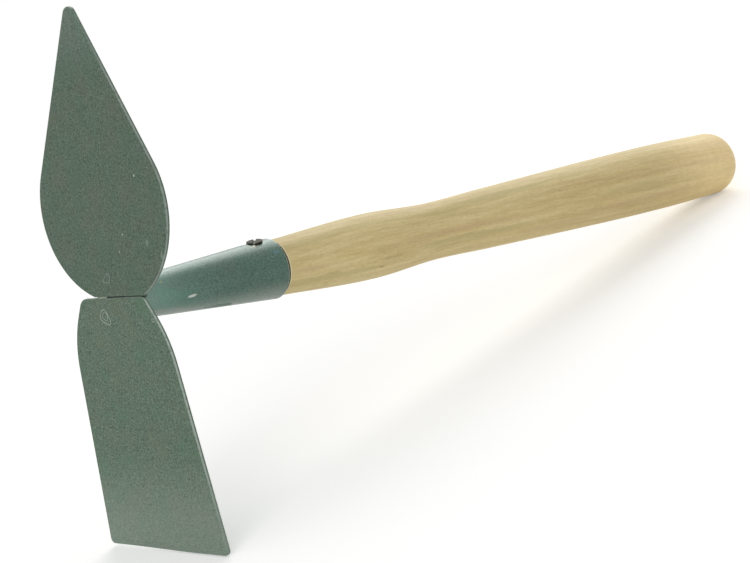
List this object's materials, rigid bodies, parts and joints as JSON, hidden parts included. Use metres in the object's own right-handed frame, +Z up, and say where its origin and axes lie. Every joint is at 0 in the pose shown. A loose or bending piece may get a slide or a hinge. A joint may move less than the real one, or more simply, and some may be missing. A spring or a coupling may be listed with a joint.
{
  "type": "combination hand hoe",
  "caption": "Short-handled combination hoe: a pointed leaf blade and a flared hoe blade welded to a tapered sheet-steel socket, with a turned wooden handle.",
  "frame": {"origin": "on the ground, under the middle of the tool's bounding box, with the tool at rest on its hoe blade and the end of its handle", "axes": "+Z up, +Y from the blades towards the end of the handle, +X across the blades"},
  "size_m": [0.0935, 0.4144, 0.2342],
  "materials": {
    "leaf_paint": "grey-green speckled metallic paint",
    "hoe_paint": "grey-green speckled metallic paint",
    "socket_paint": "teal-green speckled metallic paint",
    "leaf_weld_paint": "painted fillet weld",
    "hoe_weld_paint": "painted fillet weld",
    "turned_wood": "turned and sanded pale wood",
    "dark_steel": "darkened steel screw"
  },
  "bodies": {
    "root": {"leaf_blade": "leaf_paint", "hoe_blade": "hoe_paint", "socket": "socket_paint", "leaf_weld": "leaf_weld_paint", "hoe_weld": "hoe_weld_paint", "handle": "turned_wood", "fixing_screw": "dark_steel"}
  },
  "joints": []
}
